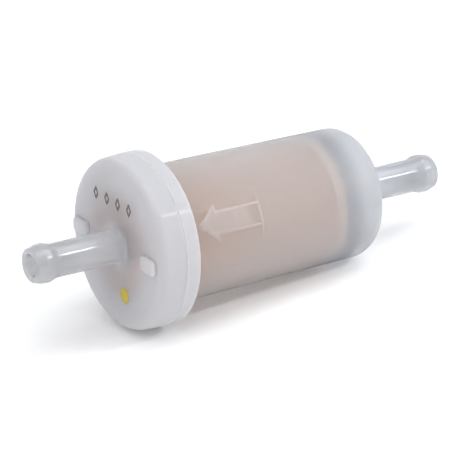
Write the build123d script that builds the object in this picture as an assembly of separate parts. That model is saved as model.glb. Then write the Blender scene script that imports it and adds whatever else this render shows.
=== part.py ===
from build123d import *
from math import cos, pi, radians, sin
import os

# In-line fuel filter for a small engine: a spin-welded plastic housing round a pleated paper
# element. The filter's axis is X. Fuel comes in at the +X nipple, passes through the paper from
# outside to inside, and leaves through the -X nipple. The origin is on the axis, half way
# between the two tips.

# --- driving dimensions, mm ---------------------------------------------------------------
HOUSING_LENGTH = 67.6        # cap face to the cup's closed end
NIPPLE_LENGTH = 23.2         # housing to tip, the same at both ends
NIPPLE_R = 4.1               # tube that an 8 mm bore hose is pushed on
NIPPLE_ROOT_ROUNDING = 0.8
BEAD_R = 4.7                 # hose-retaining bead
BORE_R = 2.6                 # fuel passage through each nipple
PASSAGE_R = 2.9              # the same passage inside the housing, a step wider

CAP_FACE_R = 20.6            # the cap widens a little from its face to the weld
CAP_WELD_R = 21.0
CAP_DEPTH = 6.7              # cap face to the weld plane
CAP_FACE_THICKNESS = 2.2
FLANGE_R = 21.05             # cup flange
FLANGE_THICKNESS = 3.7

CUP_R_AT_FLANGE = 16.65      # the cup tapers a little towards its closed end
CUP_R_AT_END = 15.95
CUP_WALL = 1.3
CUP_END_THICKNESS = 2.2
CUP_END_ROUNDING = 4.7

ELEMENT_R = 14.5             # end plates
ELEMENT_END_X = 22.5         # outer face of the blind end plate
PLATE_THICKNESS = 1.2
HUB_R = 7.0                  # hub that holds the outlet end plate off the cap's floor
HUB_HEIGHT = 0.5
HUB_TO_FLOOR = 0.1
PLATE_RIM = 0.5
POTTING_DEPTH = 1.6
PAPER_EMBEDDED = 1.0         # how far each paper edge sinks into its potting
PAPER_THICKNESS = 0.4
PAPER_OUTER_R = 13.7         # middle of the paper at an outer fold
PAPER_INNER_R = 8.7          # middle of the paper at an inner fold
OUTER_FOLD_HALF = 0.35       # half the width of an outer fold, to the middle of the paper
INNER_FOLD_HALF = 0.25
PLEATS = 54
CORE_OUTER_R = 8.4
CORE_WALL = 1.0

# --- places that follow from them, mm -----------------------------------------------------
CAP_FACE_X = -HOUSING_LENGTH / 2
CUP_END_X = HOUSING_LENGTH / 2
TIP_X = CUP_END_X + NIPPLE_LENGTH
CAP_FLOOR_X = CAP_FACE_X + CAP_FACE_THICKNESS
CUP_FLOOR_X = CUP_END_X - CUP_END_THICKNESS
WELD_X = CAP_FACE_X + CAP_DEPTH
FLANGE_BACK_X = WELD_X + FLANGE_THICKNESS

PLATE_OUTER_X = CAP_FLOOR_X + HUB_TO_FLOOR + HUB_HEIGHT
PLATE_INNER_X = PLATE_OUTER_X + PLATE_THICKNESS
BLIND_INNER_X = ELEMENT_END_X - PLATE_THICKNESS
PAPER_START_X = PLATE_INNER_X + POTTING_DEPTH - PAPER_EMBEDDED
PAPER_END_X = BLIND_INNER_X - POTTING_DEPTH + PAPER_EMBEDDED
CORE_INNER_R = CORE_OUTER_R - CORE_WALL

# Spigot inside the cap, and the collar of the end plate that fits over its seal
SPIGOT_LENGTH = 8.0
SPIGOT_R = 4.6
COLLAR_BORE_R = 4.9
COLLAR_OUTER_R = 6.0
COLLAR_LENGTH = 6.4
REGISTER_LENGTH = 2.0        # step of each end plate that centres the core
SEAL_GROOVE_R = 3.7
SEAL_GROOVE_WIDTH = 1.9
SEAL_WIDTH = 1.5
SEAL_X = CAP_FLOOR_X + 4.6

# Tongue on the cap that is spun into the flange's groove
TONGUE_IN_R = 17.1
TONGUE_OUT_R = 18.7
TONGUE_LENGTH = 1.5
MELT_GAP = 0.45
SEAM_ROUNDING = 0.08         # the trimmed edges that meet at the weld


# --- shapes that several pieces use -------------------------------------------------------
def turned(*corners):
    """A solid of revolution about X, from (x, radius, rounding) corners in order round its section."""
    with BuildPart() as solid:
        with BuildSketch(Plane.XY):
            with BuildLine():
                FilletPolyline(
                    *[(x, r) for x, r, _ in corners],
                    radius=[rounding for _, _, rounding in corners],
                    close=True,
                )
            make_face()
        revolve(axis=Axis.X)
    return solid.part


def ring(start_x, end_x, inner_r, outer_r):
    """A plain ring about X."""
    disc = Plane.YZ.offset(start_x) * extrude(Circle(outer_r), end_x - start_x)
    if inner_r > 0:
        disc -= Plane.YZ.offset(start_x) * extrude(Circle(inner_r), end_x - start_x)
    return disc


def nipple_corners(end):
    """Section corners of a hose nipple, from its neck round the tip and down its bore; end is +1 or -1."""
    tip = end * TIP_X
    bore_end = end * (HOUSING_LENGTH / 2 + NIPPLE_ROOT_ROUNDING)
    return [
        (tip - end * 5.9, NIPPLE_R, 2.0),
        (tip - end * 3.9, BEAD_R, 1.2),
        (tip - end * 2.4, BEAD_R, 1.6),
        (tip, NIPPLE_R, 0.6),
        (tip, BORE_R + 0.25, 0.2),
        (tip - end * 0.5, BORE_R, 0),
        (bore_end, BORE_R, 0),
        (bore_end, PASSAGE_R, 0),
    ]


def cup_outer_r(x):
    """Outer radius of the tapering cup at x."""
    share = (x - FLANGE_BACK_X) / (CUP_END_X - FLANGE_BACK_X)
    return CUP_R_AT_FLANGE + share * (CUP_R_AT_END - CUP_R_AT_FLANGE)


def polar(r, angle):
    """The point at this radius and angle (radians) in the YZ plane, as sketched on Plane.YZ."""
    return (r * cos(angle), r * sin(angle))


# --- raised marks on the cup --------------------------------------------------------------
ARROW_ANGLE = 24.0           # from -Y towards +Z, degrees
ARROW_TIP_X = -19.8
ARROW_HEAD_X = -15.2         # back of the head
ARROW_TAIL_X = -3.0
ARROW_HEAD_HALF = 4.2
ARROW_SHAFT_HALF = 2.6
ARROW_HEIGHT = 0.4
ARROW_ROUNDING = 0.15
WITNESS_LINES = ((ARROW_TAIL_X, 4.0, 45.0), (18.8, 20.0, 44.0))   # x, first and last angle
WITNESS_WIDTH = 0.3
WITNESS_HEIGHT = 0.15


def side_plane(angle_deg):
    """A plane through the axis whose normal points out of the cup at this angle from -Y towards +Z."""
    a = radians(angle_deg)
    return Plane(origin=(0, 0, 0), x_dir=(1, 0, 0), z_dir=(0, -cos(a), sin(a)))


def cup_skin(height):
    """A thin layer of this height over the whole tapering side of the cup, sunk a little into it."""
    first_x = FLANGE_BACK_X + 0.5
    last_x = CUP_END_X - CUP_END_ROUNDING
    sunk = 0.3
    return turned(
        (first_x, cup_outer_r(first_x) - sunk, 0),
        (first_x, cup_outer_r(first_x) + height, 0),
        (last_x, cup_outer_r(last_x) + height, 0),
        (last_x, cup_outer_r(last_x) - sunk, 0),
    )


def flow_arrow():
    """Arrow along the cup that points to the outlet."""
    outline = Polyline(
        (ARROW_TIP_X, 0),
        (ARROW_HEAD_X, ARROW_HEAD_HALF),
        (ARROW_HEAD_X, ARROW_SHAFT_HALF),
        (ARROW_TAIL_X, ARROW_SHAFT_HALF),
        (ARROW_TAIL_X, -ARROW_SHAFT_HALF),
        (ARROW_HEAD_X, -ARROW_SHAFT_HALF),
        (ARROW_HEAD_X, -ARROW_HEAD_HALF),
        close=True,
    )
    side = side_plane(ARROW_ANGLE)
    arrow = cup_skin(ARROW_HEIGHT) & extrude(side * make_face(outline), 2 * CUP_R_AT_FLANGE)
    top = arrow.faces().sort_by(Axis((0, 0, 0), side.z_dir))[-1]
    return fillet(top.edges(), ARROW_ROUNDING)


def witness_line(x, first_deg, last_deg):
    """Thin raised line part of the way round the cup."""
    middle = side_plane((first_deg + last_deg) / 2)
    half_chord = CUP_R_AT_FLANGE * sin(radians((last_deg - first_deg) / 2))
    window = Pos(x, 0) * Rectangle(WITNESS_WIDTH, 2 * half_chord)
    return cup_skin(WITNESS_HEIGHT) & extrude(middle * window, 2 * CUP_R_AT_FLANGE)


# --- housing ------------------------------------------------------------------------------
def inlet_cup():
    """Cup with the weld flange at its mouth and the inlet nipple at its closed end."""
    end_bore_r = cup_outer_r(CUP_FLOOR_X) - CUP_WALL
    mouth_bore_r = cup_outer_r(WELD_X) - CUP_WALL
    cup = turned(
        (WELD_X, mouth_bore_r, 0.3),
        (WELD_X, FLANGE_R, SEAM_ROUNDING),
        (FLANGE_BACK_X, FLANGE_R - 0.1, 0.4),
        (FLANGE_BACK_X, CUP_R_AT_FLANGE, 0.5),
        (CUP_END_X, CUP_R_AT_END, CUP_END_ROUNDING),
        (CUP_END_X, NIPPLE_R, NIPPLE_ROOT_ROUNDING),
        *nipple_corners(1),
        (CUP_FLOOR_X, PASSAGE_R, 0.6),
        (CUP_FLOOR_X, end_bore_r, 3.0),
    )
    groove_depth = TONGUE_LENGTH + MELT_GAP
    cup -= ring(WELD_X, WELD_X + groove_depth, TONGUE_IN_R - MELT_GAP, TONGUE_OUT_R + MELT_GAP)
    cup += flow_arrow()
    for x, first_deg, last_deg in WITNESS_LINES:
        cup += witness_line(x, first_deg, last_deg)
    return cup


LUG_INNER_R = 12.0
LUG_OUTER_R = 18.0
LUG_WIDTH = 3.8
LUG_HEIGHT = 1.1


def drive_lug(side):
    """Rounded block on the cap face that the welding spindle drives; side is +1 or -1 along Y."""
    length = LUG_OUTER_R - LUG_INNER_R
    middle = side * (LUG_INNER_R + LUG_OUTER_R) / 2
    sunk = 0.5
    lug = Pos(CAP_FACE_X - (LUG_HEIGHT - sunk) / 2, middle, 0) * Box(LUG_HEIGHT + sunk, length, LUG_WIDTH)
    lug = fillet(lug.edges().filter_by(Axis.X), 1.2)
    return fillet(lug.faces().sort_by(Axis.X)[0].edges(), 0.5)


def outlet_cap():
    """Cap with the outlet nipple outside, and inside it the spigot that carries the element."""
    spigot_end = CAP_FLOOR_X + SPIGOT_LENGTH
    recess_r = cup_outer_r(WELD_X) - CUP_WALL
    half_groove = SEAL_GROOVE_WIDTH / 2
    cap = turned(
        *reversed(nipple_corners(-1)),
        (CAP_FACE_X, NIPPLE_R, NIPPLE_ROOT_ROUNDING),
        (CAP_FACE_X, CAP_FACE_R, 2.5),
        (WELD_X, CAP_WELD_R, SEAM_ROUNDING),
        (WELD_X, recess_r, 0.3),
        (CAP_FLOOR_X, recess_r - 0.1, 0.5),
        (CAP_FLOOR_X, SPIGOT_R, 0.3),
        (SEAL_X - half_groove, SPIGOT_R, 0),
        (SEAL_X - half_groove, SEAL_GROOVE_R, 0),
        (SEAL_X + half_groove, SEAL_GROOVE_R, 0),
        (SEAL_X + half_groove, SPIGOT_R, 0),
        (spigot_end, SPIGOT_R, 0.5),
        (spigot_end, PASSAGE_R, 0),
    )
    cap += ring(WELD_X - 0.5, WELD_X + TONGUE_LENGTH, TONGUE_IN_R, TONGUE_OUT_R)
    return cap + drive_lug(1) + drive_lug(-1)


def weld_bead():
    """Nylon melted and set again round the cap's tongue, which fuses the cap to the cup."""
    depth = TONGUE_LENGTH + MELT_GAP
    bead = ring(WELD_X, WELD_X + depth, TONGUE_IN_R - MELT_GAP, TONGUE_OUT_R + MELT_GAP)
    return bead - ring(WELD_X, WELD_X + TONGUE_LENGTH, TONGUE_IN_R, TONGUE_OUT_R)


# --- paper element ------------------------------------------------------------------------
HALF_PITCH = pi / PLEATS
HALF_PAPER = PAPER_THICKNESS / 2


def fold_edge(r, angle, half_width):
    """The two corners of a flat fold at this radius, in order round the axis."""
    spread = half_width / r
    return [polar(r, angle - spread), polar(r, angle + spread)]


def pleated_star(start_x, end_x):
    """Paper folded into an endless star of pleats round the core."""
    outside = []
    inside = []
    for pleat in range(PLEATS):
        crest = 2 * pleat * HALF_PITCH
        valley = crest + HALF_PITCH
        outside += fold_edge(PAPER_OUTER_R + HALF_PAPER, crest, OUTER_FOLD_HALF + HALF_PAPER)
        outside += fold_edge(PAPER_INNER_R + HALF_PAPER, valley, INNER_FOLD_HALF - HALF_PAPER)
        inside += fold_edge(PAPER_OUTER_R - HALF_PAPER, crest, OUTER_FOLD_HALF - HALF_PAPER)
        inside += fold_edge(PAPER_INNER_R - HALF_PAPER, valley, INNER_FOLD_HALF + HALF_PAPER)
    section = make_face(Polyline(*outside, close=True)) - make_face(Polyline(*inside, close=True))
    return extrude(Plane.YZ.offset(start_x) * section, end_x - start_x)


def filter_paper():
    """The whole pleated paper, with both its edges sunk in the potting."""
    return pleated_star(PAPER_START_X, PAPER_END_X)


def pleat_seam():
    """Line of glue in the bottom of one valley, where the two ends of the paper strip meet."""
    valley = HALF_PITCH * (1 + 2 * (PLEATS // 8))
    fill = 0.4               # share of the valley's depth that the glue fills
    bottom = fold_edge(PAPER_INNER_R + HALF_PAPER, valley, INNER_FOLD_HALF - HALF_PAPER)
    crest_r = PAPER_OUTER_R + HALF_PAPER
    gap_angle = HALF_PITCH - (OUTER_FOLD_HALF + HALF_PAPER) / crest_r
    mouth = [polar(crest_r, valley - gap_angle), polar(crest_r, valley + gap_angle)]
    top = [Vector(*low) + fill * (Vector(*high) - Vector(*low)) for low, high in zip(bottom, mouth)]
    section = make_face(Polyline(bottom[0], bottom[1], top[1], top[0], close=True))
    start = PLATE_INNER_X + POTTING_DEPTH
    end = BLIND_INNER_X - POTTING_DEPTH
    return extrude(Plane.YZ.offset(start) * section, end - start)


def centre_tube():
    """Perforated core that keeps the paper from collapsing inwards."""
    core = ring(PLATE_INNER_X, BLIND_INNER_X, CORE_INNER_R, CORE_OUTER_R)
    rows = 10
    hole_r = 1.5
    holes_across = 5
    first_x = PLATE_INNER_X + POTTING_DEPTH + 3.0
    step = (BLIND_INNER_X - POTTING_DEPTH - 3.0 - first_x) / (rows - 1)
    drill = extrude(Circle(hole_r), CORE_OUTER_R + 1, both=True)
    for row in range(rows):
        stagger = 180 / holes_across / 2 * (row % 2)
        for hole in range(holes_across):
            turn = Rot(stagger + hole * 180 / holes_across, 0, 0)
            core -= Pos(first_x + row * step, 0, 0) * turn * drill
    return core


def outlet_end_plate():
    """Shallow dish at the outlet end, with a collar that slides over the cap's spigot and seal."""
    rim_x = PLATE_INNER_X + POTTING_DEPTH + 0.2
    return turned(
        (CAP_FLOOR_X + HUB_TO_FLOOR, COLLAR_BORE_R, 0.3),
        (CAP_FLOOR_X + HUB_TO_FLOOR, HUB_R, 0.2),
        (PLATE_OUTER_X, HUB_R, 0.2),
        (PLATE_OUTER_X, ELEMENT_R, 0.3),
        (rim_x, ELEMENT_R, 0.2),
        (rim_x, ELEMENT_R - PLATE_RIM, 0.2),
        (PLATE_INNER_X, ELEMENT_R - PLATE_RIM, 0),
        (PLATE_INNER_X, CORE_INNER_R, 0),
        (PLATE_INNER_X + REGISTER_LENGTH, CORE_INNER_R, 0.3),
        (PLATE_INNER_X + REGISTER_LENGTH, COLLAR_OUTER_R, 0.5),
        (CAP_FLOOR_X + COLLAR_LENGTH, COLLAR_OUTER_R, 0.3),
        (CAP_FLOOR_X + COLLAR_LENGTH, COLLAR_BORE_R, 0.3),
    )


TAB_COUNT = 4
TAB_WIDTH = 2.4
TAB_LENGTH = 1.4
TAB_TO_WALL = 0.1


def blind_end_plate():
    """Closed dish at the inlet end, with tabs that centre it in the cup and a boss inside the core."""
    rim_x = BLIND_INNER_X - POTTING_DEPTH - 0.2
    boss_x = BLIND_INNER_X - REGISTER_LENGTH
    plate = turned(
        (ELEMENT_END_X, 0, 0),
        (ELEMENT_END_X, ELEMENT_R, 0.3),
        (rim_x, ELEMENT_R, 0.2),
        (rim_x, ELEMENT_R - PLATE_RIM, 0.2),
        (BLIND_INNER_X, ELEMENT_R - PLATE_RIM, 0),
        (BLIND_INNER_X, CORE_INNER_R, 0),
        (boss_x, CORE_INNER_R, 0.3),
        (boss_x, 0, 0),
    )
    tab_reach = cup_outer_r(ELEMENT_END_X) - CUP_WALL - TAB_TO_WALL
    tab_ring = ring(ELEMENT_END_X - TAB_LENGTH, ELEMENT_END_X - 0.3, ELEMENT_R - 0.3, tab_reach)
    for tab in range(TAB_COUNT):
        window = Pos(ELEMENT_END_X, 0, ELEMENT_R) * Box(3 * TAB_LENGTH, TAB_WIDTH, 4)
        plate += tab_ring & (Rot(45 + tab * 360 / TAB_COUNT, 0, 0) * window)
    return plate


def outlet_potting():
    """Glue that sets round the paper's edge in the outlet end plate."""
    glue = ring(PLATE_INNER_X, PLATE_INNER_X + POTTING_DEPTH, CORE_OUTER_R, ELEMENT_R - PLATE_RIM)
    return glue - pleated_star(PAPER_START_X, PLATE_INNER_X + POTTING_DEPTH)


def blind_potting():
    """Glue that sets round the paper's edge in the blind end plate."""
    glue = ring(BLIND_INNER_X - POTTING_DEPTH, BLIND_INNER_X, CORE_OUTER_R, ELEMENT_R - PLATE_RIM)
    return glue - pleated_star(BLIND_INNER_X - POTTING_DEPTH, PAPER_END_X)


def spigot_seal():
    """Rubber ring squeezed between the spigot's groove and the collar's bore."""
    half = SEAL_WIDTH / 2
    rounding = 0.45
    return turned(
        (SEAL_X - half, SEAL_GROOVE_R, rounding),
        (SEAL_X - half, COLLAR_BORE_R, rounding),
        (SEAL_X + half, COLLAR_BORE_R, rounding),
        (SEAL_X + half, SEAL_GROOVE_R, rounding),
    )


# --- marks on the cap face ----------------------------------------------------------------
DOT_Y = -3.7
DOT_Z = -11.4
DOT_R = 1.95
PAINT_THICKNESS = 0.1

INK_Z = 10.6
INK_FIRST_Y = -5.9
INK_STEP = 4.87
INK_HEIGHT = 3.4
INK_WIDTH = 2.1
INK_STROKE = 0.5
INK_THICKNESS = 0.06


def paint_dot():
    """Dab of paint that marks a tested filter."""
    dab = Plane.YZ.offset(CAP_FACE_X - PAINT_THICKNESS)
    return dab * Pos(DOT_Y, DOT_Z) * extrude(Circle(DOT_R), PAINT_THICKNESS)


def lozenge(height, width):
    """A diamond shape, taller than it is wide."""
    return make_face(Polyline((0, height / 2), (width / 2, 0), (0, -height / 2), (-width / 2, 0), close=True))


def ink_marks():
    """Row of four plain batch marks, each one an open lozenge stamped in ink."""
    slant = (INK_HEIGHT**2 + INK_WIDTH**2) ** 0.5
    inner_height = INK_HEIGHT - 2 * INK_STROKE * slant / INK_WIDTH
    inner_width = INK_WIDTH - 2 * INK_STROKE * slant / INK_HEIGHT
    outline = lozenge(INK_HEIGHT, INK_WIDTH) - lozenge(inner_height, inner_width)
    face = Plane.YZ.offset(CAP_FACE_X - INK_THICKNESS)
    places = [Pos(INK_FIRST_Y + mark * INK_STEP, INK_Z) for mark in range(4)]
    return Compound(children=[extrude(face * place * outline, INK_THICKNESS) for place in places])


# --- write every piece --------------------------------------------------------------------
PIECES = (
    inlet_cup,
    outlet_cap,
    weld_bead,
    filter_paper,
    pleat_seam,
    centre_tube,
    outlet_end_plate,
    blind_end_plate,
    outlet_potting,
    blind_potting,
    spigot_seal,
    paint_dot,
    ink_marks,
)

os.makedirs("parts", exist_ok=True)
for piece in PIECES:
    export_step(piece(), f"parts/{piece.__name__}.step")
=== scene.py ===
from math import ceil, cos, degrees, pi, radians, sin

import bmesh
import bpy
from mathutils import Matrix, Vector, noise


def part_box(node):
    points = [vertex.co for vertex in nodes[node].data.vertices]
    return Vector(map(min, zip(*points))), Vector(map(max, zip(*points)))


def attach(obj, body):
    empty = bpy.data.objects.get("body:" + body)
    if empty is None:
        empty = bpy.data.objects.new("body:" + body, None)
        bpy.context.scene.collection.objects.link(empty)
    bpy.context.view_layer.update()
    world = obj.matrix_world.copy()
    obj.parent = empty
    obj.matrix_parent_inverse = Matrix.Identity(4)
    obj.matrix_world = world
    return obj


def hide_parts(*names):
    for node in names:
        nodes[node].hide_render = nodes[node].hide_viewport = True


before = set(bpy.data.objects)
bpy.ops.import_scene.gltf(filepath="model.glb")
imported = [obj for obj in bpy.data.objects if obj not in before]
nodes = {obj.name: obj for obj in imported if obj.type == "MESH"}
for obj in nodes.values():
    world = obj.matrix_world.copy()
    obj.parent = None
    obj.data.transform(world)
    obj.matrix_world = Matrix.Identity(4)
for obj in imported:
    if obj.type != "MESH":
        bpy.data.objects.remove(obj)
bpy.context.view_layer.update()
scene = bpy.context.scene

# A fuel filter: a milky nylon housing welded round a pleated paper element. Its axis is X, and
# the outlet cap is at the -X end. Lengths are in metres, and MM turns millimetres into them.
MM = 0.001
SHARP_ANGLE = radians(40)         # edges that turn by more than this stay crisp


# --- reading the frame ----------------------------------------------------------------------
def welded_mesh(node):
    """The node's CAD mesh as a bmesh, with the split vertices along its edges joined."""
    bm = bmesh.new()
    bm.from_mesh(nodes[node].data)
    bmesh.ops.remove_doubles(bm, verts=bm.verts, dist=1e-6)
    return bm


def cut_loops(node, point, normal, keep=lambda co: True):
    """Closed loops of points where a plane cuts the node, on the side that keep says."""
    bm = welded_mesh(node)
    everything = bm.verts[:] + bm.edges[:] + bm.faces[:]
    cut = bmesh.ops.bisect_plane(bm, geom=everything, dist=1e-7, plane_co=point, plane_no=normal)
    beside = {}
    for edge in cut["geom_cut"]:
        if isinstance(edge, bmesh.types.BMEdge) and all(keep(v.co) for v in edge.verts):
            a, b = edge.verts
            beside.setdefault(a, []).append(b)
            beside.setdefault(b, []).append(a)
    loops = []
    while beside:
        vert = next(iter(beside))
        loop = []
        while vert is not None:
            loop.append(vert.co.copy())
            onward = beside.pop(vert)
            vert = next((v for v in onward if v in beside), None)
        loops.append(loop)
    bm.free()
    return loops


def islands(node):
    """Lowest and highest corners of each separate solid in the node."""
    bm = welded_mesh(node)
    left = set(bm.verts)
    boxes = []
    while left:
        reached = [left.pop()]
        for vert in reached:
            for edge in vert.link_edges:
                other = edge.other_vert(vert)
                if other in left:
                    left.remove(other)
                    reached.append(other)
        lows = Vector([min(v.co[i] for v in reached) for i in range(3)])
        highs = Vector([max(v.co[i] for v in reached) for i in range(3)])
        boxes.append((lows, highs))
    bm.free()
    return sorted(boxes, key=lambda corners: corners[0].y)


# --- shaping --------------------------------------------------------------------------------
def smoothstep(low, high, value):
    t = min(max((value - low) / (high - low), 0), 1)
    return t * t * (3 - 2 * t)


def polygon_depth(x, y, corners):
    """Distance from (x, y) to a polygon's outline, above zero inside it."""
    nearest = 1.0
    inside = False
    for (x0, y0), (x1, y1) in zip(corners, corners[1:] + corners[:1]):
        dx, dy = x1 - x0, y1 - y0
        along = min(max(((x - x0) * dx + (y - y0) * dy) / (dx * dx + dy * dy), 0), 1)
        nearest = min(nearest, Vector((x - x0 - along * dx, y - y0 - along * dy)).length)
        if (y0 > y) != (y1 > y) and x < x0 + dx * (y - y0) / dy:
            inside = not inside
    return nearest if inside else -nearest


def grid_mesh(name, rows, capped=False):
    """Quads over closed rows of points. The last row joins the first, or both ends are capped."""
    count = len(rows[0])
    points = [p for row in rows for p in row]
    faces = []
    for i in range(len(rows) - 1 if capped else len(rows)):
        for j in range(count):
            a = i * count + j
            b = i * count + (j + 1) % count
            c = (i + 1) % len(rows) * count + (j + 1) % count
            d = (i + 1) % len(rows) * count + j
            faces.append((a, b, c, d))
    if capped:
        faces.append(tuple(reversed(range(count))))
        faces.append(tuple((len(rows) - 1) * count + j for j in range(count)))
    mesh = bpy.data.meshes.new(name)
    mesh.from_pydata(points, [], faces)
    bm = bmesh.new()
    bm.from_mesh(mesh)
    bmesh.ops.recalc_face_normals(bm, faces=bm.faces)
    bm.to_mesh(mesh)
    bm.free()
    mesh.shade_smooth()
    mesh.set_sharp_from_angle(angle=SHARP_ANGLE)
    return mesh


def add_piece(name, mesh, material, slot, *replaced):
    """A Blender piece that rides with the filter and stands for these CAD nodes."""
    piece = bpy.data.objects.new(name, mesh)
    scene.collection.objects.link(piece)
    mesh.materials.append(material)
    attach(piece, "root")
    if replaced:
        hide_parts(*replaced)
    return piece


# --- materials ------------------------------------------------------------------------------
class Shader:
    """A material with one Principled shader, and short ways to add the nodes that feed it."""

    def __init__(self, name, roughness):
        self.material = bpy.data.materials.new(name)
        self.material.use_nodes = True
        self.tree = self.material.node_tree
        self.principled = self.tree.nodes["Principled BSDF"]
        self.set("Roughness", roughness)
        self.place = self.tree.nodes.new("ShaderNodeTexCoord").outputs["Object"]

    def set(self, socket, value):
        self.principled.inputs[socket].default_value = value

    def feed(self, socket, output):
        self.tree.links.new(output, self.principled.inputs[socket])

    def node(self, kind, inputs, output=0, **settings):
        """Adds a node, links or sets its inputs by name or number, and returns one output."""
        node = self.tree.nodes.new("ShaderNode" + kind)
        for key, value in settings.items():
            setattr(node, key, value)
        for key, value in inputs.items():
            if isinstance(value, bpy.types.NodeSocket):
                self.tree.links.new(value, node.inputs[key])
            else:
                node.inputs[key].default_value = value
        return node.outputs[output]

    def grain(self, size, detail=3.0, stretch=(1, 1, 1)):
        """Noise from 0 to 1 whose blobs are about this size."""
        scaled = self.node("Mapping", {"Vector": self.place, "Scale": stretch})
        return self.node("TexNoise", {"Vector": scaled, "Scale": 0.5 / size, "Detail": detail})

    def remap(self, value, low, high, to_low, to_high):
        inputs = {0: value, 1: low, 2: high, 3: to_low, 4: to_high}
        return self.node("MapRange", inputs, interpolation_type="SMOOTHSTEP")

    def ramp(self, value, origin, span, to_low, to_high):
        """Like remap, over a span whose start and end are measured from origin."""
        return self.remap(value, origin + span[0], origin + span[1], to_low, to_high)

    def math(self, operation, *values):
        return self.node("Math", dict(enumerate(values)), operation=operation)

    def mix_value(self, share, low, high):
        return self.node("Mix", {0: share, 2: low, 3: high})

    def mix_color(self, share, low, high):
        inputs = {0: share, 6: low, 7: high}
        return self.node("Mix", inputs, output=2, data_type="RGBA")

    def bump(self, height, distance, strength=1.0):
        normal = self.node("Bump", {"Height": height, "Distance": distance, "Strength": strength})
        self.feed("Normal", normal)


# Colours of the nylon, tuned by place until the render's levels were near the photograph's
NYLON_CLEAR = (0.92, 0.925, 0.94, 1)       # thin wall, mostly see-through
NYLON_MILKY = (0.68, 0.675, 0.70, 1)       # thick rim, mostly scattering
NYLON_INLET = (0.65, 0.655, 0.69, 1)       # inlet nipple, in the open
NYLON_OUTLET_PAINTED_LIGHT = (0.75, 0.75, 0.77, 1)       # outlet nipple, painted lighter than the inlet one to make up for the cap's shade on it
NYLON_PAST = (0.83, 0.84, 0.87, 1)         # wall past the element, with only fuel space behind it
NYLON_END_THICK_AND_SHADED = (0.67, 0.68, 0.705, 1)         # closed end, which is thicker, and darkened further as painted shade against the lamps' light on it
NYLON_WELD_PAINTED_LIGHT = (0.92, 0.92, 0.93, 1)      # painted light beside the weld, paler to cancel the shade in its groove
TIP_SHADE = 0.88                           # nipples are darker towards the tip

# Transmission of the clearest nylon, whose milk is 0, and of the milkiest, whose milk is 1
CLEAR_TRANSMISSION = 0.95
MILKY_TRANSMISSION = 0.35

# How milky each place is
CUP_MILK = 0.0
END_MILK = 0.65
RIM_MILK = 1.0
FACE_MILK = 0.35
ROOT_MILK = 0.8
TIP_MILK = 0.3
ARROW_MILK_AND_REFLECTION = 0.22                          # added on the arrow's top: partly its thicker wall, partly a painted reflection
EDGE_HIGHLIGHT_MILK = 0.5                            # painted highlight added on its sloping edges and the witness lines
MOTTLE_MILK = 0.03                         # added or taken away in blotches

# Weight of the glossy coat at each place
CUP_GLOSS = 0.035
END_GLOSS = 0.12
RIM_GLOSS = 0.1
NIPPLE_GLOSS = 1.0

# Where the nylon changes: start and end, in X from the back of the flange, ...
CUP_STARTS = (-0.2 * MM, 0.5 * MM)
# ... in X from the outside of the closed end, ...
ELEMENT_STOPS = (-14 * MM, -8 * MM)
MILK_RISES = (-13 * MM, -2 * MM)
END_THICKENS_AND_SHADES = (-7 * MM, -1 * MM)
GLOSS_RISES = (-4.5 * MM, -2.5 * MM)
# ... outwards from the root of a nipple, ...
NIPPLE_STARTS = (0, 3 * MM)
MILK_FALLS = (2 * MM, 15 * MM)
TIP_STARTS = (10 * MM, 18 * MM)
# ... in radius from the axis, ...
ROOT_STOPS = (4.5 * MM, 6.5 * MM)
RIM_STARTS = (9 * MM, 18.5 * MM)
# ... and in distance from the weld.
WELD_LIGHT_STOPS = (0.1 * MM, 0.45 * MM)


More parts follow.
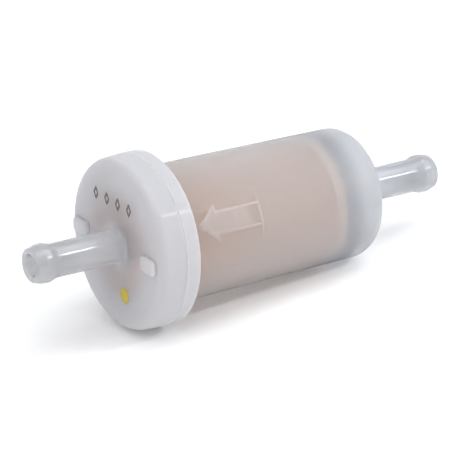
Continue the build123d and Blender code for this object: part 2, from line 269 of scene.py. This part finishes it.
def nylon(name, tube, root_x):
    """Milky nylon, milkier where it is thicker, with a painted reflection on the arrow's top and
    painted highlights on its edges and witness lines, and a polished nipple that starts at root_x.
    """
    s = Shader(name, 0.8)
    x = s.node("SeparateXYZ", {0: s.place}, output="X")
    across = s.node("VectorMath", {0: s.place, 1: (0, 1, 1)}, operation="MULTIPLY")
    r = s.node("VectorMath", {0: across}, output="Value", operation="LENGTH")
    arrow = s.node("Attribute", {}, output="Fac", attribute_name="arrow")
    edge = s.node("Attribute", {}, output="Fac", attribute_name="edge")

    on_cup = s.ramp(x, FLANGE_BACK_X, CUP_STARTS, 0.0, 1.0)
    from_middle = s.math("ABSOLUTE", x)
    on_nipple = s.ramp(from_middle, abs(root_x), NIPPLE_STARTS, 0.0, 1.0)
    cup_milk = s.ramp(x, CUP_END_X, MILK_RISES, CUP_MILK, END_MILK)
    face_milk = s.remap(r, *ROOT_STOPS, ROOT_MILK, FACE_MILK)
    cap_milk = s.remap(r, *RIM_STARTS, face_milk, RIM_MILK)
    nipple_milk = s.ramp(from_middle, abs(root_x), MILK_FALLS, ROOT_MILK, TIP_MILK)
    milk = s.mix_value(on_nipple, s.mix_value(on_cup, cap_milk, cup_milk), nipple_milk)
    mottle = s.grain(6 * MM, 4.0, (0.4, 1, 1))
    milk = s.math("ADD", milk, s.remap(mottle, 0.3, 0.7, -MOTTLE_MILK, MOTTLE_MILK))
    # Painted reflection on the arrow's top, partly the milk of its thicker wall
    milk = s.math("MULTIPLY_ADD", arrow, ARROW_MILK_AND_REFLECTION, milk)
    # Painted highlights on the arrow's sloping edges and the witness lines
    milk = s.node("Clamp", {0: s.math("MULTIPLY_ADD", edge, EDGE_HIGHLIGHT_MILK, milk)})
    cup_gloss = s.ramp(x, CUP_END_X, GLOSS_RISES, CUP_GLOSS, END_GLOSS)
    gloss = s.mix_value(on_nipple, s.mix_value(on_cup, RIM_GLOSS, cup_gloss), NIPPLE_GLOSS)

    past_element = s.ramp(x, CUP_END_X, ELEMENT_STOPS, 0.0, 1.0)
    # Towards the closed end: darker for its thicker wall, and painted shade that tones down the
    # lamps' light on it
    on_end = s.ramp(x, CUP_END_X, END_THICKENS_AND_SHADES, 0.0, 1.0)
    wall = s.mix_color(milk, NYLON_CLEAR, NYLON_MILKY)
    wall = s.mix_color(past_element, wall, s.mix_color(on_end, NYLON_PAST, NYLON_END_THICK_AND_SHADED))
    on_tip = s.ramp(from_middle, abs(root_x), TIP_STARTS, 0.0, 1.0)
    nipple = s.mix_color(on_tip, tube, tuple(TIP_SHADE * part for part in tube[:3]) + (1,))
    # Painted light beside the weld, over the shade in the groove between cap and flange
    from_weld = s.math("ABSOLUTE", s.math("SUBTRACT", x, WELD_X))
    wall = s.mix_color(s.remap(from_weld, *WELD_LIGHT_STOPS, 1.0, 0.0), wall, NYLON_WELD_PAINTED_LIGHT)
    s.feed("Base Color", s.mix_color(on_nipple, wall, nipple))
    s.feed("Transmission Weight", s.mix_value(milk, CLEAR_TRANSMISSION, MILKY_TRANSMISSION))
    s.feed("Coat Weight", gloss)
    s.feed("Roughness", s.remap(s.grain(1.5 * MM), 0.3, 0.7, 0.76, 0.84))
    s.set("IOR", 1.5)
    s.set("Subsurface Weight", 1.0)
    s.set("Subsurface Radius", (1.0, 0.95, 0.9))
    s.set("Subsurface Scale", 2 * MM)
    s.set("Coat Roughness", 0.11)
    s.set("Coat IOR", 1.7)
    s.bump(s.grain(0.8 * MM, 2.0), 0.004 * MM)
    return s.material


PAPER_DARK = (0.53, 0.345, 0.25, 1)
PAPER_LIGHT = (0.61, 0.42, 0.315, 1)
PAPER_WARM = (0.54, 0.29, 0.145, 1)        # towards the outlet end, where it looks warmer
WARMTH_FADES = (0, 25 * MM)                # in X from the back of the flange


def paper_material():
    """Resin-treated filter paper: tan, matt, with fibres."""
    s = Shader("filter_paper", 0.9)
    fibres = s.grain(0.15 * MM, 5.0, (0.3, 1, 1))
    blotches = s.grain(5 * MM, 3.0)
    tone = s.math("ADD", s.remap(fibres, 0.3, 0.7, 0.0, 0.5), s.remap(blotches, 0.3, 0.7, 0.0, 0.5))
    paper = s.mix_color(tone, PAPER_DARK, PAPER_LIGHT)
    x = s.node("SeparateXYZ", {0: s.place}, output="X")
    warmth = s.ramp(x, FLANGE_BACK_X, WARMTH_FADES, 1.0, 0.0)
    s.feed("Base Color", s.mix_color(warmth, paper, PAPER_WARM))
    s.bump(fibres, 0.05 * MM)
    return s.material


def moulded_plastic(name, dark, light, roughness):
    """Small opaque moulding with a fine spark-eroded surface."""
    s = Shader(name, roughness)
    s.feed("Base Color", s.mix_color(s.grain(3 * MM), dark, light))
    s.feed("Roughness", s.remap(s.grain(0.6 * MM), 0.3, 0.7, roughness - 0.06, roughness + 0.06))
    s.bump(s.grain(0.25 * MM, 2.0), 0.01 * MM)
    return s.material


def glue_material():
    """Cast polyurethane with small bubbles."""
    s = Shader("element_glue", 0.35)
    bubbles = s.node("TexVoronoi", {"Vector": s.place, "Scale": 0.9 / MM}, output="Distance")
    s.feed("Base Color", s.mix_color(s.grain(2 * MM), (0.55, 0.38, 0.24, 1), (0.70, 0.52, 0.36, 1)))
    s.bump(s.remap(bubbles, 0.1, 0.3, 0.0, 1.0), 0.03 * MM)
    return s.material


def paint_material():
    """Yellow marking paint, clouded, with a low sheen."""
    s = Shader("yellow_paint", 0.35)
    cloud = s.grain(0.9 * MM)
    s.feed("Base Color", s.mix_color(cloud, (0.42, 0.315, 0.02, 1), (0.53, 0.415, 0.04, 1)))
    s.feed("Roughness", s.remap(cloud, 0.3, 0.7, 0.3, 0.42))
    s.set("Specular IOR Level", 0.3)
    s.bump(s.grain(0.4 * MM, 2.0), 0.02 * MM)
    return s.material


def ink_material():
    """Sooty stamping ink that has soaked in unevenly."""
    s = Shader("dark_ink", 0.6)
    speckle = s.grain(0.25 * MM, 4.0)
    dark, light = (0.10, 0.075, 0.07, 1), (0.25, 0.21, 0.20, 1)
    s.feed("Base Color", s.mix_color(s.remap(speckle, 0.35, 0.75, 0.0, 1.0), dark, light))
    s.bump(speckle, 0.01 * MM)
    return s.material


# --- places on the housing ------------------------------------------------------------------
CUP_LOW, CUP_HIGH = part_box("inlet_cup")
CAP_LOW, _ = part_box("outlet_cap")
NIPPLE_LENGTH = 23.2 * MM
CAP_FACE_X = CAP_LOW.x + NIPPLE_LENGTH
CUP_END_X = CUP_HIGH.x - NIPPLE_LENGTH
WELD_X = CUP_LOW.x
FLANGE_THICKNESS = 3.7 * MM
FLANGE_BACK_X = WELD_X + FLANGE_THICKNESS
WELD_GAP = 0.02 * MM              # hairline left between the cap and the flange
CUP_OUTSIDE_R = 15.6 * MM         # the cup's outer skin is beyond this radius, its bore within it
END_ROUNDING = 4.7 * MM

ARROW_ANGLE = radians(24)         # from -Y towards +Z
ARROW_TIP_X = -19.8 * MM
ARROW_HEAD_X = -15.2 * MM
ARROW_TAIL_X = -3.0 * MM
ARROW_HEAD_HALF = 4.2 * MM
ARROW_SHAFT_HALF = 2.6 * MM
ARROW_HEIGHT = 0.4 * MM
ARROW_DRAFT = 0.5 * MM            # width of the arrow's sloping edge
ARROW_CORNERS = [
    (ARROW_TIP_X, 0),
    (ARROW_HEAD_X, ARROW_HEAD_HALF),
    (ARROW_HEAD_X, ARROW_SHAFT_HALF),
    (ARROW_TAIL_X, ARROW_SHAFT_HALF),
    (ARROW_TAIL_X, -ARROW_SHAFT_HALF),
    (ARROW_HEAD_X, -ARROW_SHAFT_HALF),
    (ARROW_HEAD_X, -ARROW_HEAD_HALF),
]
FAR_LINE_X = 18.8 * MM
WITNESS_LINES = (                 # x, first and last angle in degrees, share of the full height
    (ARROW_TAIL_X, 4, 45, 1.0),
    (FAR_LINE_X, 20, 44, 0.6),
)
LINE_END = 2                      # degrees over which a line rises at each end
WITNESS_HEIGHT = 0.15 * MM
WITNESS_HALF = 0.25 * MM          # half the width of a line
ARROW_REFLECTION_FADE = (-9 * MM, -4 * MM)   # the arrow's painted reflection dies away between these, towards its tail
LOWER_EDGE_HIGHLIGHT = 0.35                 # how strong the painted highlight on the arrow's lower edges is, against its upper ones
NEAR_ARROW = 0.8 * MM             # the section is fine this far round the arrow ...
NEAR_LINE = 0.6 * MM              # ... and this far round the far witness line


def on_arrow(x, arc):
    """1 on the arrow's top, falling to 0 across its sloping edge."""
    if not ARROW_TIP_X - MM < x < ARROW_TAIL_X + MM or abs(arc) > ARROW_HEAD_HALF + MM:
        return 0
    return smoothstep(-ARROW_DRAFT / 2, ARROW_DRAFT / 2, polygon_depth(x, arc, ARROW_CORNERS))


def on_witness_line(x, angle):
    """Share of the full height on a fine raised line's crest, 0 beside it and beyond its ends."""
    highest = 0
    for line_x, first_deg, last_deg, share in WITNESS_LINES:
        across = 1 - smoothstep(0, WITNESS_HALF, abs(x - line_x))
        past = max(first_deg - degrees(angle), degrees(angle) - last_deg)
        highest = max(highest, share * across * (1 - smoothstep(-LINE_END, 0, past)))
    return highest


# --- the cup --------------------------------------------------------------------------------
LONG_STRETCH = 20 * MM            # a stretch of the outside longer than this is stepped finely
BORE_STEP = 1.6 * MM
ARROW_STEP = 0.2 * MM
LINE_STEP = 0.1 * MM
PLAIN_STEP = 0.9 * MM
FINE_FROM, FINE_STEP, FINE_COUNT = -2, 0.6, 90     # the fine angles, in degrees
COARSE_COUNT = 124


def refined(loop, longest):
    """The closed loop with points added so that no step is longer than longest(x, r)."""
    points = []
    for start, end in zip(loop, loop[1:] + loop[:1]):
        middle = (start + end) / 2
        steps = max(1, ceil((end - start).length / longest(middle.x, middle.y)))
        if steps > 1 and start.y > CUP_OUTSIDE_R and (end - start).length > LONG_STRETCH:
            points += finely_stepped(start, end, longest)
        else:
            points += [start.lerp(end, i / steps) for i in range(steps)]
    return points


def finely_stepped(start, end, longest):
    """Points from start up to end whose spacing follows longest(x, r) all the way."""
    points = []
    done = 0.0
    length = (end - start).length
    while done < length:
        point = start.lerp(end, done / length)
        points.append(point)
        done += longest(point.x, point.y)
    return points


def cup_step(x, r):
    """Longest step along the section: fine under the raised marks, coarser elsewhere."""
    if r < CUP_OUTSIDE_R:
        return BORE_STEP
    if ARROW_TIP_X - NEAR_ARROW < x < ARROW_TAIL_X + NEAR_ARROW:
        return ARROW_STEP
    if abs(x - FAR_LINE_X) < NEAR_LINE:
        return LINE_STEP
    return PLAIN_STEP


def cup_angles():
    """Angles round the axis from -Y towards +Z, fine where the marks are."""
    fine = [radians(FINE_FROM + FINE_STEP * i) for i in range(FINE_COUNT)]
    left = 2 * pi - (fine[-1] - fine[0])
    return fine + [fine[-1] + left * (i + 1) / (COARSE_COUNT + 1) for i in range(COARSE_COUNT)]


def build_cup(material):
    """The cup turned from its CAD section, with softly raised arrow and witness lines."""
    loop = cut_loops("inlet_cup", (0, 0, 0), (0, 0, 1), keep=lambda co: co.y > 0)[0]
    rows = []
    top_milk_and_reflection, edge_highlight = [], []
    for point in refined(loop, cup_step):
        row = []
        for angle in cup_angles():
            x, r = point.x, point.y
            arrow = line = 0
            if x < WELD_X + WELD_GAP:
                x += WELD_GAP
            if r > CUP_OUTSIDE_R and FLANGE_BACK_X < x < CUP_END_X - END_ROUNDING:
                arrow = on_arrow(x, (angle - ARROW_ANGLE) * r)
                line = on_witness_line(x, angle)
                r += max(arrow * ARROW_HEIGHT, line * WITNESS_HEIGHT)
            row.append((x, -r * cos(angle), r * sin(angle)))
            # The arrow's top: milkier for its thicker wall, plus a painted reflection that fades
            # towards the tail
            milk_and_reflection = arrow * (1 - smoothstep(*ARROW_REFLECTION_FADE, x))
            # Painted highlight halfway down the arrow's slope, full on the upper edges and weaker on
            # the lower ones, and on the witness lines
            highlight_side = 1 if angle > ARROW_ANGLE else LOWER_EDGE_HIGHLIGHT
            top_milk_and_reflection.append(milk_and_reflection)
            halfway = 4 * arrow * (1 - arrow)      # 1 half way down the arrow's slope
            edge_highlight.append(max(halfway * highlight_side, line))
        rows.append(row)
    mesh = grid_mesh("cup_shell", rows)
    mesh.attributes.new("arrow", "FLOAT", "POINT").data.foreach_set("value", top_milk_and_reflection)
    mesh.attributes.new("edge", "FLOAT", "POINT").data.foreach_set("value", edge_highlight)
    return add_piece("cup_shell", mesh, material, "housing_nylon", "inlet_cup")


# --- the paper ------------------------------------------------------------------------------
PAPER_ROWS = 18
SWAY = radians(1.1)               # most that a fold wanders about the axis
SWAY_START = 6 * MM               # it grows to that over this length from each potted end
SWAY_ALONG, SWAY_ACROSS = 60, 160    # how quickly it changes along the axis and across it
CORNER_CUTS = 2


def rounded(loop):
    """The closed loop with its corners cut, twice over, into smooth folds."""
    for _ in range(CORNER_CUTS):
        cut = []
        for a, b in zip(loop, loop[1:] + loop[:1]):
            cut += [a.lerp(b, 0.25), a.lerp(b, 0.75)]
        loop = cut
    return loop


def sway(x, point, low_x, high_x):
    """Turn about the axis that makes the pleats wander a little between the potted ends."""
    rise = smoothstep(low_x, low_x + SWAY_START, x)
    fall = smoothstep(high_x - SWAY_START, high_x, x)
    where = Vector((x * SWAY_ALONG, point.y * SWAY_ACROSS, point.z * SWAY_ACROSS))
    return rise * (1 - fall) * SWAY * noise.noise(where)


def build_paper(material):
    """The pleated paper between its two potted ends, with round folds that wander a little."""
    low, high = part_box("filter_paper")
    middle = (low + high) / 2
    outside, inside = sorted(
        cut_loops("filter_paper", middle, (1, 0, 0)),
        key=lambda loop: max(p.yz.length for p in loop),
        reverse=True,
    )
    sides = []
    for loop in (outside, inside):
        loop = rounded(loop)
        side = []
        for i in range(PAPER_ROWS + 1):
            x = low.x + (high.x - low.x) * i / PAPER_ROWS
            row = []
            for point in loop:
                turned = Matrix.Rotation(sway(x, point, low.x, high.x), 4, "X") @ point
                row.append((x, turned.y, turned.z))
            side.append(row)
        sides.append(side)
    outer_side, inner_side = sides
    mesh = grid_mesh("pleated_paper", outer_side + inner_side[::-1])
    return add_piece("pleated_paper", mesh, material, "filter_paper", "filter_paper")


# --- marks on the cap -----------------------------------------------------------------------
DAB_SECTORS, DAB_RINGS = 72, 10
DAB_MIDDLE = 0.75                 # thickness in the middle, as a share of the thickest
DAB_SHOULDER = 0.82               # share of the radius where it starts to fall to the edge
DAB_SMALLEST = 0.001              # share of the radius of the innermost ring
INK_STROKE = 0.5 * MM             # width of a line of ink
STROKE_STEPS = 120
STROKE_SECTION = ((0, 0), (0.06, 0.7), (0.2, 1), (0.8, 1), (0.94, 0.7), (1, 0))    # across, height
STROKE_WAVER = 0.25               # how far the line's width strays, as a share of it
SIDE_POWER = 1.7                  # 2 would make a lozenge's sides straight, and less bows them out


def build_dot(material):
    """A dab of paint with an uneven outline, thickest just inside its edge."""
    low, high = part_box("paint_dot")
    centre = (low + high) / 2
    radius = (high.y - low.y) / 2
    thickness = high.x - low.x
    rows = []
    for ring_no in range(DAB_RINGS + 1):
        share = ring_no / DAB_RINGS
        lift = (DAB_MIDDLE + (1 - DAB_MIDDLE) * share) * (1 - smoothstep(DAB_SHOULDER, 1.0, share))
        row = []
        for k in range(DAB_SECTORS):
            a = 2 * pi * k / DAB_SECTORS
            edge = radius * (0.97 + 0.06 * noise.noise(Vector((2 * cos(a), 2 * sin(a), 0.3))))
            r = max(share, DAB_SMALLEST) * edge
            row.append((high.x - thickness * lift, centre.y + r * cos(a), centre.z + r * sin(a)))
        rows.append(row)
    mesh = grid_mesh("paint_dab", rows, capped=True)
    return add_piece("paint_dab", mesh, material, "yellow_paint", "paint_dot")


def lozenge_rows(low, high, seed):
    """An open lozenge of ink with soft corners and a wavering line, as rows of points round it."""
    centre = (low + high) / 2
    half_y, half_z = (high.y - low.y) / 2, (high.z - low.z) / 2
    slant = (half_y**2 + half_z**2) ** 0.5
    rows = []
    for i in range(STROKE_STEPS):
        a = 2 * pi * i / STROKE_STEPS
        c, d = cos(a), sin(a)
        waver = 1 + STROKE_WAVER * noise.noise(Vector((2.5 * c, 2.5 * d, seed)))
        row = []
        for inward, lift in STROKE_SECTION:
            inset = INK_STROKE * (0.5 + (inward - 0.5) * waver)
            y = (half_y - inset * slant / half_z) * abs(c) ** SIDE_POWER * (1 if c > 0 else -1)
            z = (half_z - inset * slant / half_y) * abs(d) ** SIDE_POWER * (1 if d > 0 else -1)
            row.append((high.x - lift * (high.x - low.x), centre.y + y, centre.z + z))
        rows.append(row)
    return rows


def build_ink(material):
    """The row of ink marks on the cap face."""
    bm = bmesh.new()
    for seed, (low, high) in enumerate(islands("ink_marks")):
        mark = grid_mesh("mark", lozenge_rows(low, high, seed))
        bm.from_mesh(mark)
        bpy.data.meshes.remove(mark)
    mesh = bpy.data.meshes.new("ink_strokes")
    bm.to_mesh(mesh)
    bm.free()
    return add_piece("ink_strokes", mesh, material, "dark_ink", "ink_marks")


# --- putting it together --------------------------------------------------------------------
def finish_cad_nodes():
    """Materials for the CAD nodes that stay as they are."""
    plastic = moulded_plastic("element_plastic", (0.50, 0.38, 0.30, 1), (0.56, 0.43, 0.34, 1), 0.5)
    warm = (0.86, 0.42, 0.26, 1), (0.93, 0.48, 0.31, 1)     # tints the cap face from behind
    warm_plastic = moulded_plastic("outlet_plate_plastic", *warm, 0.5)
    rubber = moulded_plastic("seal_rubber", (0.10, 0.055, 0.035, 1), (0.16, 0.09, 0.06, 1), 0.6)
    glue = glue_material()
    # the outlet nipple's colour is painted lighter, over the shade that the cap casts on it
    cap = nylon("cap_nylon", NYLON_OUTLET_PAINTED_LIGHT, CAP_FACE_X)
    finishes = {
        "outlet_cap": cap,
        "weld_bead": cap,
        "pleat_seam": glue,
        "outlet_potting": glue,
        "blind_potting": glue,
        "centre_tube": plastic,
        "outlet_end_plate": warm_plastic,
        "blind_end_plate": plastic,
        "spigot_seal": rubber,
    }
    for node, material in finishes.items():
        mesh = nodes[node].data
        mesh.materials.clear()
        mesh.materials.append(material)


def build_floor():
    """Plain pale floor, tilted as the filter lies: on its flange and the cup's closed end."""
    tilt = radians(5.4)
    half_size = 3.0
    corners = [(-half_size, -half_size, 0), (half_size, -half_size, 0), (half_size, half_size, 0)]
    corners.append((-half_size, half_size, 0))
    mesh = bpy.data.meshes.new("floor")
    mesh.from_pydata(corners, [], [(0, 1, 2, 3)])
    floor = bpy.data.objects.new("floor", mesh)
    scene.collection.objects.link(floor)
    floor.rotation_euler = (0, -tilt, 0)
    floor.location = (FLANGE_BACK_X, 0, CUP_LOW.z)
    s = Shader("floor_white", 0.9)
    s.feed("Base Color", s.mix_color(s.grain(60 * MM), (0.93, 0.93, 0.93, 1), (0.95, 0.95, 0.95, 1)))
    s.set("Specular IOR Level", 0.1)
    s.set("Emission Color", (1, 1, 1, 1))
    s.set("Emission Strength", 0.03)
    mesh.materials.append(s.material)


def place_camera():
    """A long lens from the outlet side, looking a little down, fitted to the photograph's outline."""
    azimuth, elevation, distance = radians(-33.16), radians(21.52), 0.8135
    back = Vector((sin(azimuth) * cos(elevation), -cos(azimuth) * cos(elevation), sin(elevation)))
    right = Vector((cos(azimuth), sin(azimuth), 0))
    up = back.cross(right)
    data = bpy.data.cameras.new("camera")
    data.lens = 267.2
    data.sensor_width = 36
    data.clip_start = 0.05
    data.clip_end = 20
    camera = bpy.data.objects.new("camera", data)
    scene.collection.objects.link(camera)
    aim = Vector((-2.07, 0.08, -2.69)) * MM
    turn = Matrix((right, up, back)).transposed().to_4x4()
    camera.matrix_world = Matrix.Translation(aim + back * distance) @ turn
    scene.camera = camera


def softbox(name, direction, distance, length, width, power, color):
    """A rectangular lamp that faces the filter, with its length as near as it can be along X."""
    data = bpy.data.lights.new(name, "AREA")
    data.shape = "RECTANGLE"
    data.size = length
    data.size_y = width
    data.energy = power
    data.color = color
    outward = Vector(direction).normalized()
    along = (Vector((1, 0, 0)) - outward * outward.x).normalized()
    turn = Matrix((along, outward.cross(along), outward)).transposed().to_4x4()
    lamp = bpy.data.objects.new(name, data)
    scene.collection.objects.link(lamp)
    lamp.matrix_world = Matrix.Translation(outward * distance) @ turn


def light_the_scene():
    """A bright even studio, broad soft lamps above and on the cap, and a thin key for the glints."""
    softbox("key", (0.51, -0.59, 0.63), 1.5, length=0.8, width=0.05, power=6, color=(1, 1, 1))
    softbox(
        "front", (-0.55, -0.25, 0.8), 1.2, length=0.8, width=0.8, power=2.5, color=(1, 0.98, 0.96)
    )
    softbox(
        "overhead", (0.3, -0.15, 0.9), 1.5, length=1.5, width=0.9, power=9, color=(0.87, 0.95, 1)
    )
    world = bpy.data.worlds.new("studio")
    scene.world = world
    world.use_nodes = True
    background = world.node_tree.nodes["Background"]
    background.inputs["Color"].default_value = (0.98, 0.985, 1, 1)
    background.inputs["Strength"].default_value = 0.82
    scene.view_settings.view_transform = "Standard"
    scene.cycles.diffuse_bounces = 10
    scene.cycles.max_bounces = 24
    scene.cycles.transmission_bounces = 16
    scene.cycles.glossy_bounces = 6


finish_cad_nodes()
build_cup(nylon("housing_nylon", NYLON_INLET, CUP_END_X))
build_paper(paper_material())
build_dot(paint_material())
build_ink(ink_material())
build_floor()
place_camera()
light_the_scene()
